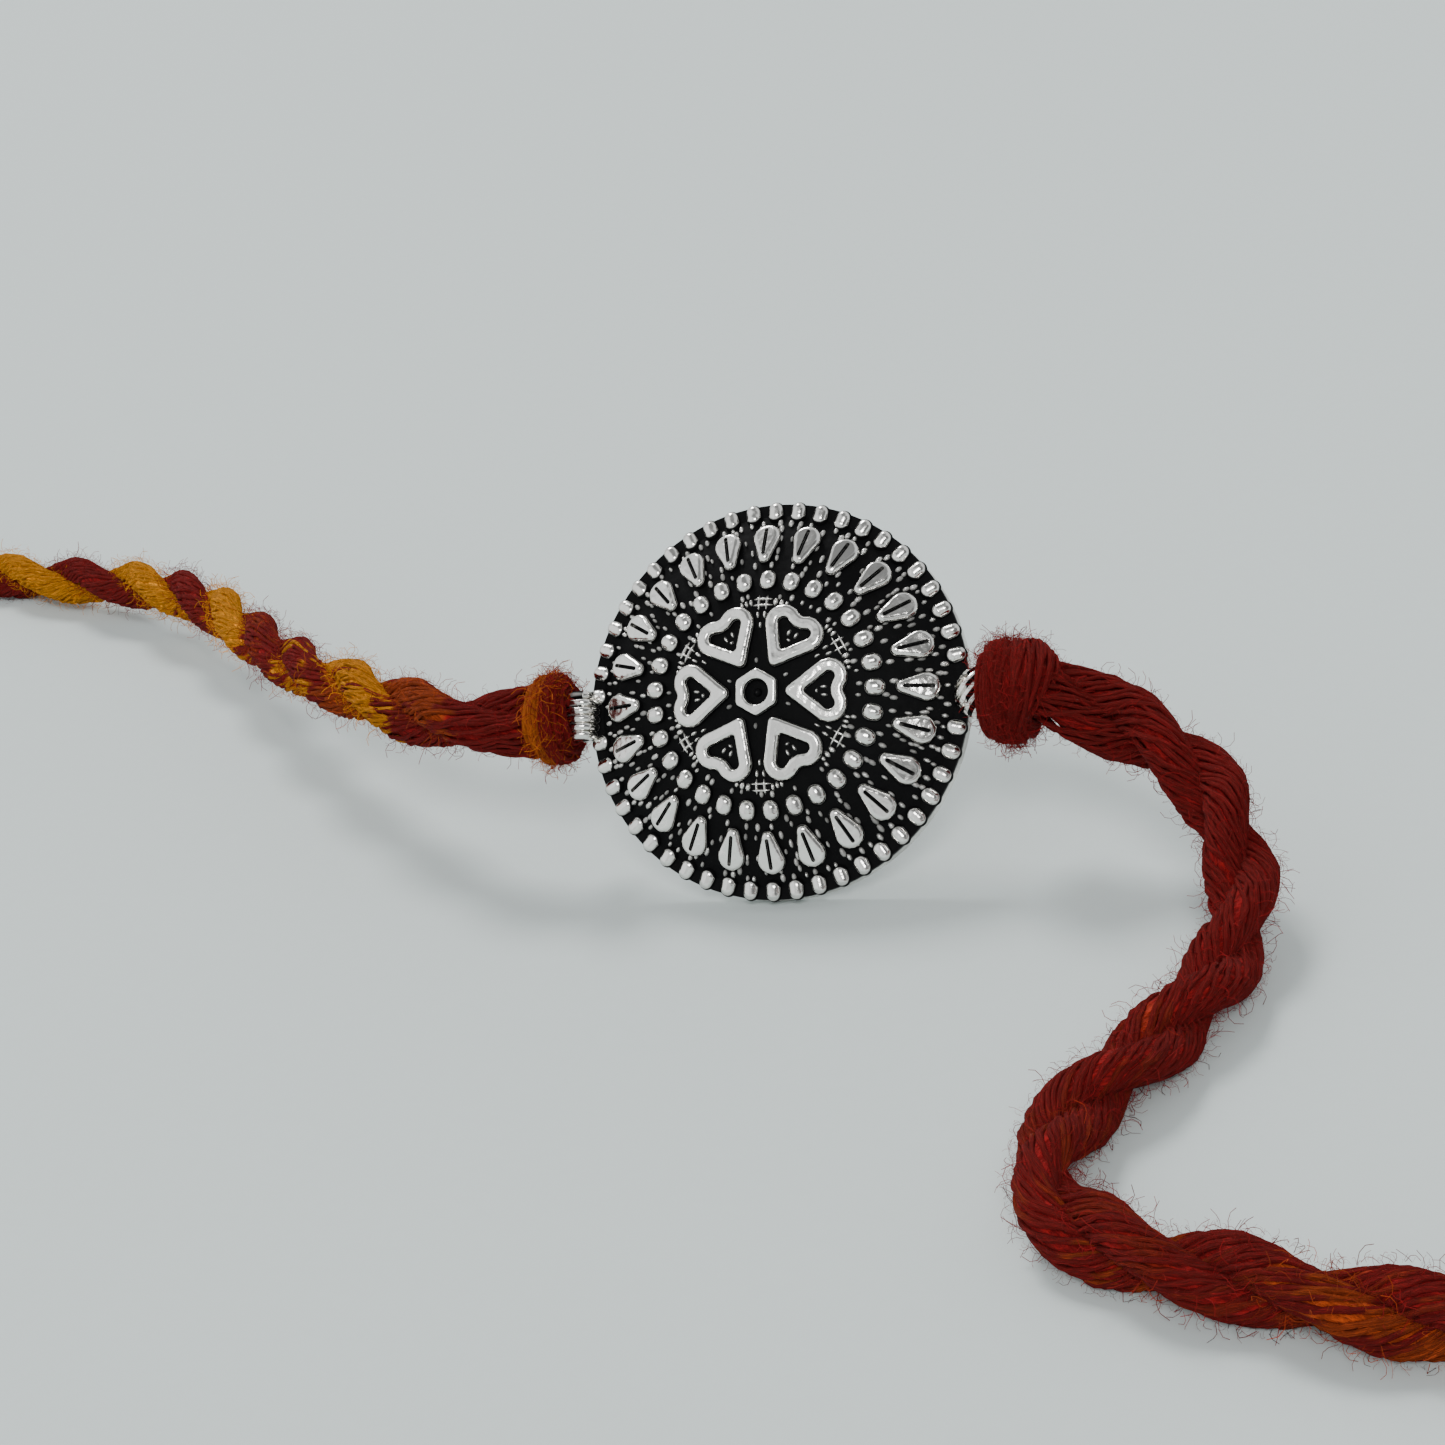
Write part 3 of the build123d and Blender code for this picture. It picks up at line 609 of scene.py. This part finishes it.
def winding_tree(material):
    """Fine yarn wound round an axis in crossing passes, closed at both ends, with a bulge for each turn."""
    tree = Tree("wind_yarn", {
        "Length": ("Float", 4.0 * MM), "Passes": ("Int", PASSES), "Turns": ("Float", 12.0), "Bulges": ("Float", 2.0),
        "Peak radius": ("Float", 3.0 * MM), "Valley radius": ("Float", 2.6 * MM), "Near radius": ("Float", 1.3 * MM),
        "Far radius": ("Float", 1.8 * MM), "Yarn radius": ("Float", 0.17 * MM), "Slant": ("Float", 0.3 * MM),
        "Shoulder": ("Float", 0.0), "Far tint": ("Float", 0.0), "Change": ("Float", 0.5), "Seed": ("Int", 1),
    })
    given = tree.given
    axis = tree.node("GeometryNodeMeshToCurve", {}, {0: given("Geometry")})
    corner, cap, filling = 0.75 * MM, 0.17, 0.42 * MM

    def wound(passes, turns, steps, thickness, sink, sides, core):
        """Tubes along the winding's passes, sunk below the outer yarn's middle."""
        path = tree.node("GeometryNodeResampleCurve", {"mode": "COUNT"}, {"Curve": axis, "Count": turns * steps})
        path = tree.node("GeometryNodeDuplicateElements", {"domain": "SPLINE"}, {"Geometry": path, "Amount": passes})
        index = path.other("Duplicate Index")
        share = tree.node("GeometryNodeSplineParameter", output="Factor")
        angle = (share * turns + index / passes) * (2 * math.pi)
        quarter = math.pi / 2
        head = tree.function("MINIMUM", share / cap, 1.0) * quarter
        tail = tree.function("MINIMUM", (1.0 - share) / cap, 1.0) * quarter
        middle = tree.step(share, cap, 1.0 - cap, "LINEAR")
        inner = given("Length") - 2 * corner - 2 * sink
        place = sink + corner * (1.0 - tree.function("COSINE", head)) + inner * middle
        place = place + corner * tree.function("COSINE", tail)
        wave = tree.function("ABSOLUTE", tree.function("SINE", middle * given("Bulges") * math.pi))
        body = given("Valley radius") + (given("Peak radius") - given("Valley radius")) * tree.function(
            "POWER", wave, 0.6)
        low = given("Near radius") + (given("Far radius") - given("Near radius")) * middle
        rounded = tree.function("SINE", head) * tree.function("SINE", tail)
        lump = tree.noise(tree.join(angle * 0.35, share * 9.0 + index * 2.3, given("Seed")), 1.0, 2.0) - 0.5
        radius = low + (body - low) * rounded + lump * (0.42 * MM) * rounded - sink * rounded
        normal = tree.node("GeometryNodeInputNormal")
        tangent = tree.node("GeometryNodeInputTangent")
        binormal = tree.vector("CROSS_PRODUCT", tangent, normal)
        shift = tree.between(normal, radius * tree.function("COSINE", angle),
                             binormal, radius * tree.function("SINE", angle))
        lean = given("Slant") * tree.function("SINE", angle + 0.6 + index * 2.1)
        stray = tree.noise(tree.join(angle * 0.55, share * 3.0 + index * 7.7, given("Seed") + 4.0), 1.0, 1.0) - 0.5
        lean = (lean + stray * (1.1 * MM)) * rounded
        over = tree.function("MAXIMUM", tree.function("SINE", angle + 2.7), 0.0)
        lean = lean + given("Shoulder") * over * tree.step(share, 0.45, 0.85)
        shift = tree.vector("ADD", shift, tree.vector(
            "SCALE", tangent, scale=place + lean - share * given("Length")))
        change = tree.step(share + stray * 0.08, given("Change") - 0.02, given("Change") + 0.02)
        path = tree.store(path, "tint", given("Far tint") * change * (1.0 + 0.5 * lump))
        path = tree.store(path, "along", angle * (2.6 * MM))
        path = tree.store(path, "yarn", tree.function("FLOOR", angle / (2 * math.pi)) + index * 31.0)
        path = tree.node("GeometryNodeSetPosition", {}, {"Geometry": path, "Offset": shift})
        if not core:
            swollen = tree.noise(tree.join(angle * 1.3, index * 4.7, given("Seed")), 1.0, 1.0)
            path = tree.node("GeometryNodeSetCurveRadius", {}, {"Curve": path, "Radius": 0.6 + 0.9 * swollen})
        return spun_tube(tree, path, sides, thickness, core)

    outer = wound(given("Passes"), given("Turns"), 26.0, given("Yarn radius"), 0.0, 5, 0.0)
    inner = wound(1, given("Turns") * 1.1, 18.0, filling, filling, 8, 1.0)
    return tree.finish(over_floor(tree, join_two(tree, outer, inner), 0.0), material)


def granule_tree(material):
    """Small oblong granules on the dome, each at the ring, turn, size and stretch that its point holds."""
    tree = Tree("set_granules", {"Size": ("Float", 0.17 * MM), "Height": ("Float", 1.3)})
    ring, turn, across, size, stretch = map(tree.held, ("ring", "turn", "across", "size", "stretch"))
    points = tree.node("GeometryNodeMeshToPoints", {}, {"Mesh": tree.given("Geometry")})
    high = tree.function("SQRT", DOME_SPHERE**2 - ring * ring) - (DOME_SPHERE - DOME_RISE)

    def face_direction(angle):
        return tree.between(tuple(FACE_RIGHT), tree.function("COSINE", angle),
                            tuple(FACE_UP), tree.function("SINE", angle))

    place = tree.between(face_direction(turn), ring, tuple(FACE_NORMAL), high)
    points = tree.node("GeometryNodeSetPosition", {}, {
        "Geometry": points, "Position": tree.vector("ADD", place, tuple(FACE_CENTRE))})
    outward = tree.vector("SUBTRACT", tree.node("GeometryNodeInputPosition"), tuple(DOME_CENTRE))
    stand = tree.node("FunctionNodeAlignRotationToVector", {"axis": "Z"}, {"Vector": outward})
    stand = tree.node("FunctionNodeAlignRotationToVector", {"axis": "X", "pivot_axis": "Z"},
                      {"Rotation": stand, "Vector": face_direction(turn + across)})
    ball = tree.node("GeometryNodeMeshUVSphere", {}, {"Segments": 8, "Rings": 5, "Radius": tree.given("Size")})
    placed = tree.node("GeometryNodeInstanceOnPoints", {}, {
        "Points": points, "Instance": ball, "Rotation": stand,
        "Scale": tree.join(size * stretch, size, tree.given("Height"))})
    return tree.finish(placed, material)


def granule_seeds():
    """A mesh of points that hold each granule's ring, turn, lie, size, stretch and wear."""
    chance = np.random.default_rng(7)
    rows = []

    def ring(radius, count, first_degrees, size, stretch, keep, jitter, wear):
        for index in range(count):
            loose = chance.uniform(-1, 1, 3) * jitter
            kept, grown, rubbed = chance.uniform(0, 1, 3)
            if kept < keep:
                rows.append((radius + 0.12 * loose[0], first_degrees + (index + 0.5 * loose[1]) * 360 / count,
                             0.9 * loose[2], size * (0.75 + 0.5 * grown), stretch, wear * (0.35 + 0.65 * rubbed)))

    for row in GRANULE_RINGS:
        ring(*row)
    for heart in range(HEARTS):
        middle = FIRST_GAP + heart * 360 / HEARTS
        rows.extend((radius, middle + degrees, *rest, MARK_WEAR) for radius, degrees, *rest in HEART_MARKS)
    mesh = bpy.data.meshes.new("seeds")
    mesh.from_pydata([(0.0, 0.0, 0.0)] * len(rows), [], [])
    table = np.array(rows)
    table[:, 0] *= MM
    table[:, 1:3] = np.radians(table[:, 1:3])
    for column, name in enumerate(("ring", "turn", "across", "size", "stretch", "worn")):
        mesh.attributes.new(name, "FLOAT", "POINT").data.foreach_set("value", table[:, column])
    return mesh


def line_mesh(name, points):
    """A mesh of edges through points."""
    mesh = bpy.data.meshes.new(name)
    mesh.from_pydata([tuple(p) for p in points], [(i, i + 1) for i in range(len(points) - 1)], [])
    return mesh


def grow(name, tree, start, values):
    """Runs a tree on a starting mesh and keeps what it makes as a plain mesh that rides on the part."""
    piece = bpy.data.objects.new(name, start)
    bpy.context.scene.collection.objects.link(piece)
    maker = piece.modifiers.new("make", "NODES")
    maker.node_group = tree
    sockets = {item.name: item.identifier for item in tree.interface.items_tree
               if item.item_type == "SOCKET" and item.in_out == "INPUT"}
    for label, value in values.items():
        maker[sockets[label]] = value
    depsgraph = bpy.context.evaluated_depsgraph_get()
    made = bpy.data.meshes.new_from_object(piece.evaluated_get(depsgraph), preserve_all_data_layers=True,
                                           depsgraph=depsgraph)
    piece.modifiers.clear()
    piece.data = made
    made.name = name
    if len(made.polygons) == 0:
        raise RuntimeError(f"{name} came out empty")
    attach(piece, "root")
    return piece


def root_points(root):
    """Both ends of a binding's axis and the direction along it."""
    angle, start, length = root
    turn = math.radians(angle)
    out = math.cos(turn) * FACE_RIGHT + math.sin(turn) * FACE_UP
    base = FACE_CENTRE + LUG_LIFT * FACE_NORMAL
    return base + start * out, base + (start + length) * out, out


def cord_route(root, places):
    """A cord's whole route: its exit and the places that it passes."""
    return [root_points(root)[1]] + [Vector(p) * MM for p in places]


def smooth_line(name, route):
    """Points of the smooth line whose control points are the route's."""
    curve = bpy.data.curves.new(name, "CURVE")
    curve.dimensions = "3D"
    curve.resolution_u = 24
    spline = curve.splines.new("NURBS")
    spline.points.add(len(route) - 1)
    for point, place in zip(spline.points, route):
        point.co = (*place, 1.0)
    spline.order_u = 3
    spline.use_endpoint_u = True
    holder = bpy.data.objects.new(name, curve)
    bpy.context.scene.collection.objects.link(holder)
    depsgraph = bpy.context.evaluated_depsgraph_get()
    mesh = bpy.data.meshes.new_from_object(holder.evaluated_get(depsgraph), depsgraph=depsgraph)
    points = [vertex.co.copy() for vertex in mesh.vertices]
    bpy.data.objects.remove(holder)
    bpy.data.meshes.remove(mesh)
    return points


def run_length(points):
    return sum((b - a).length for a, b in zip(points, points[1:]))


def once(name, make, *arguments):
    """A tree or material that is made the first time and then reused."""
    for store in (bpy.data.node_groups, bpy.data.materials):
        if name in store:
            return store[name]
    return make(*arguments)


class RAKHI_OT_finish_medallion(bpy.types.Operator):
    """Give the medallion its oxidised finish and its finest granules"""

    bl_idname = "rakhi.finish_medallion"
    bl_label = "Finish medallion"

    def execute(self, context):
        settings = context.scene.rakhi_medallion
        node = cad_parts["medallion"]
        node.data.materials.clear()
        node.data.materials.append(worn_silver("worn_silver", settings, False))
        tree = granule_tree(worn_silver("granule_silver", settings, True))
        grow("granules", tree, granule_seeds(), {"Size": settings.granule_size})
        return {"FINISHED"}


class RAKHI_OT_lay_cords(bpy.types.Operator):
    """Lay both twisted cords along their routes, with their loose fibres"""

    bl_idname = "rakhi.lay_cords"
    bl_label = "Lay cords"

    def execute(self, context):
        settings = context.scene.rakhi_cords
        yarn = once("thread", thread, settings)
        raise_fuzz = once("raise_fuzz", fuzz_tree, yarn)
        # Each cord's root, route, tints and own inputs
        sides = {
            "left": (LEFT_ROOT, LEFT_ROUTE, LEFT_BANDS, {
                "Phase": 2.25, "Lay length": settings.left_lay, "Swell": 0.32, "Seed": 4}),
            "right": (RIGHT_ROOT, RIGHT_ROUTE, RIGHT_BANDS, {
                "Phase": -0.7, "Lay length": settings.right_lay, "Swell": 0.44, "Seed": 9}),
        }
        for side, (root, places, bands, own) in sides.items():
            points = smooth_line(side + "_line", cord_route(root, places))
            spin = rope_tree(f"spin_{side}_rope", yarn, bands, run_length(points))
            values = {"Yarns": settings.yarns, "Strand offset": settings.strand_offset,
                      "Strand radius": settings.strand_radius, "Yarn radius": settings.yarn_radius, **own}
            inside = points[0] - ROPE_OVERLAP * root_points(root)[2]
            rope = grow(side + "_rope", spin, line_mesh("line", [inside] + points), values)
            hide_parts(side + "_cord")
            grow(side + "_fuzz", raise_fuzz, rope.data.copy(), {
                "Density": settings.fuzz_density, "Length": settings.fuzz_length, "Lift": ROPE_FUZZ_LIFT,
                "Seed": own["Seed"]})
            knot = tie_end(side, points, context.scene)
            tuple(points[0])
            run_length(points)
            [tuple(p) for p in points[::6] + [points[-1]]]
        return {"FINISHED"}


def tie_end(side, points, scene):
    """The knot and the tuft past a cord's end."""
    cords, bindings = scene.rakhi_cords, scene.rakhi_bindings
    along = (points[-1] - points[-2]).normalized()
    end = points[-1]
    yarn = once("thread", thread, cords)
    wind = once("wind_yarn", winding_tree, yarn)
    knot = grow(side + "_knot", wind, line_mesh("axis", [end, end + KNOT_LENGTH * along]), {
        "Length": KNOT_LENGTH, "Turns": KNOT_LENGTH / bindings.thread_pitch / 2.4, "Bulges": 1.0,
        "Peak radius": bindings.knot_radius - 0.3 * MM, "Valley radius": 2.1 * MM, "Near radius": 1.7 * MM,
        "Far radius": 1.7 * MM, "Yarn radius": cords.yarn_radius, "Slant": 0.9 * MM, "Seed": 2})
    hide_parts(side + "_end_knot")
    spin = once("spin_tuft", rope_tree, "spin_tuft", yarn, PLAIN_BANDS, TUFT_LENGTH)
    tuft_line = [end + (KNOT_LENGTH - TUFT_OVERLAP + step * (TUFT_LENGTH + TUFT_OVERLAP) / 8) * along
                 for step in range(9)]
    grow(side + "_tuft", spin, line_mesh("tuft", tuft_line), {
        "Yarns": cords.yarns, "Lay length": 60 * MM, "Strand offset": 0.55 * MM, "Strand radius": 0.9 * MM,
        "Yarn radius": cords.yarn_radius, "Swell": -0.3, "Seed": 3})
    return knot


class RAKHI_OT_wind_bindings(bpy.types.Operator):
    """Wind the yarn of both bindings at the medallion"""

    bl_idname = "rakhi.wind_bindings"
    bl_label = "Wind bindings"

    def execute(self, context):
        cords, settings = context.scene.rakhi_cords, context.scene.rakhi_bindings
        yarn = once("thread", thread, cords)
        wind = once("wind_yarn", winding_tree, yarn)
        raise_fuzz = once("raise_fuzz", fuzz_tree, yarn)
        # Each binding's root, radius, shift away from the medallion and own inputs
        sides = {
            "left": (LEFT_ROOT, settings.left_radius, 0.25 * MM, {
                "Valley radius": settings.left_radius - 0.65 * MM, "Far tint": 0.58, "Slant": 0.22 * MM,
                "Seed": 5}),
            "right": (RIGHT_ROOT, settings.right_radius, -0.35 * MM, {
                "Valley radius": settings.right_radius - 0.50 * MM, "Slant": 0.30 * MM, "Shoulder": 1.9 * MM,
                "Seed": 6}),
        }
        for side, (root, radius, shift, own) in sides.items():
            start, _, out = root_points(root)
            start, length = start + shift * out, root[2] - BINDING_TRIM
            turns = (length + 2 * (radius - 1.6 * MM)) / settings.thread_pitch / PASSES
            winding = grow(side + "_winding", wind, line_mesh("axis", [start, start + length * out]), {
                "Length": length, "Turns": turns, "Bulges": 2.0, "Peak radius": radius - 0.2 * MM,
                "Near radius": 1.42 * MM, "Far radius": 1.8 * MM, "Yarn radius": cords.yarn_radius, **own})
            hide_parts(side + "_binding")
            grow(side + "_binding_fuzz", raise_fuzz, winding.data.copy(), {
                "Density": 2.0 * cords.fuzz_density, "Length": cords.fuzz_length, "Lift": BINDING_FUZZ_LIFT,
                "Seed": own["Seed"]})
        return {"FINISHED"}


class RAKHI_OT_set_stage(bpy.types.Operator):
    """Set the pale floor, the soft light and the camera"""

    bl_idname = "rakhi.set_stage"
    bl_label = "Set stage"

    def execute(self, context):
        settings = context.scene.rakhi_stage
        corners = [(x * FLOOR_REACH, y * FLOOR_REACH, 0) for x, y in ((-1, -1), (1, -1), (1, 1), (-1, 1))]
        mesh = bpy.data.meshes.new("floor")
        mesh.from_pydata(corners, [], [(0, 1, 2, 3)])
        floor = bpy.data.objects.new("floor", mesh)
        floor.data.materials.append(paper_floor(settings))
        context.scene.collection.objects.link(floor)

        world = bpy.data.worlds.new("studio")
        world.use_nodes = True
        world.node_tree.nodes.clear()
        graph = Graph(world.node_tree)
        # The ceiling right overhead is darker than the walls; a pale wall stands at the left, a dark one at the right
        way = graph.node("ShaderNodeTexCoord", output="Generated")
        _, _, high = graph.split(way)
        pale = graph.step(graph.vector("DOT_PRODUCT", way, PALE_WALL), 0.70, 0.86)
        dark = graph.step(graph.vector("DOT_PRODUCT", way, DARK_WALL), 0.80, 0.92)
        strength = settings.sky * (1.0 - 0.70 * graph.step(high, 0.86, 0.96) + 0.40 * pale - 0.80 * dark)
        sky = graph.node("ShaderNodeBackground", {}, {"Color": SKY_TINT, "Strength": strength})
        graph.node("ShaderNodeOutputWorld", {}, {"Surface": sky})
        context.scene.world = world

        for name, toward, width, share in LAMPS:
            light = bpy.data.lights.new(name, "SUN")
            light.angle, light.energy = width, settings.key_power * share
            lamp = bpy.data.objects.new(name, light)
            lamp.matrix_world = toward.to_track_quat("Z", "Y").to_matrix().to_4x4()
            context.scene.collection.objects.link(lamp)

        camera = bpy.data.cameras.new("camera")
        camera.lens, camera.sensor_width, camera.clip_start, camera.clip_end = settings.lens, 36.0, 0.01, 20.0
        eye = bpy.data.objects.new("camera", camera)
        forward = EYE_FORWARD.normalized()
        up = (EYE_UP - EYE_UP.dot(forward) * forward).normalized()
        turn = Matrix((forward.cross(up), up, -forward)).transposed().to_4x4()
        eye.matrix_world = Matrix.Translation(EYE_PLACE) @ turn
        context.scene.collection.objects.link(eye)
        context.scene.camera = eye
        return {"FINISHED"}


class RAKHI_PT_sidebar(bpy.types.Panel):
    """Lists the steps that build the bracelet's looks."""

    bl_label = "Rakhi"
    bl_idname = "RAKHI_PT_sidebar"
    bl_space_type = "VIEW_3D"
    bl_region_type = "UI"
    bl_category = "Rakhi"

    def draw(self, context):
        for operator in OPERATORS:
            self.layout.operator(operator.bl_idname)
        for holder in SETTINGS:
            group = getattr(context.scene, holder)
            for name in group.__annotations__:
                self.layout.prop(group, name)


SETTINGS = {
    "rakhi_medallion": MedallionSettings,
    "rakhi_cords": CordSettings,
    "rakhi_bindings": BindingSettings,
    "rakhi_stage": StageSettings,
}
OPERATORS = (RAKHI_OT_set_stage, RAKHI_OT_lay_cords, RAKHI_OT_wind_bindings, RAKHI_OT_finish_medallion)


def register():
    for group in SETTINGS.values():
        bpy.utils.register_class(group)
    for operator in OPERATORS:
        bpy.utils.register_class(operator)
    bpy.utils.register_class(RAKHI_PT_sidebar)
    for name, group in SETTINGS.items():
        setattr(bpy.types.Scene, name, PointerProperty(type=group))


def unregister():
    for name in SETTINGS:
        delattr(bpy.types.Scene, name)
    bpy.utils.unregister_class(RAKHI_PT_sidebar)
    for operator in reversed(OPERATORS):
        bpy.utils.unregister_class(operator)
    for group in reversed(SETTINGS.values()):
        bpy.utils.unregister_class(group)


def main():
    register()
    bpy.ops.rakhi.set_stage()
    bpy.ops.rakhi.lay_cords()
    bpy.ops.rakhi.wind_bindings()
    bpy.ops.rakhi.finish_medallion()


if __name__ == "__main__":
    main()
